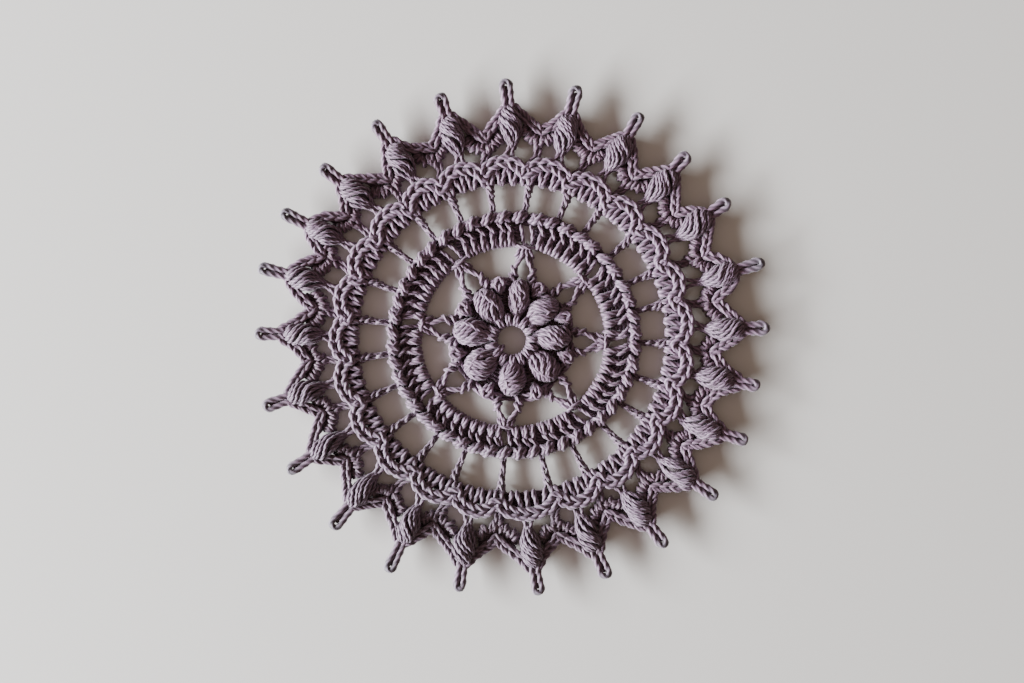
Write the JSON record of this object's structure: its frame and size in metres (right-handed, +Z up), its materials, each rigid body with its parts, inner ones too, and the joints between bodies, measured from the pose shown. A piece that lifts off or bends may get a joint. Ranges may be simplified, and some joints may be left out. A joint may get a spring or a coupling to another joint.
{
  "type": "crochet doily",
  "caption": "Round openwork crochet doily of thick cotton yarn, with a petalled middle, knotted ring, scalloped band and pointed puff edging, lying flat.",
  "frame": {"origin": "middle of the doily's outline, on the flat underside that rests on the table", "axes": "+Z up out of the face of the doily, +Y towards the top of the picture, +X towards its right"},
  "size_m": [0.2202, 0.221, 0.0086],
  "materials": {
    "yarn": "matt heathered grey-mauve cotton yarn in two plies, a darker grey at the tips of the edging"
  },
  "bodies": {
    "root": {"doily": "yarn"}
  },
  "joints": []
}
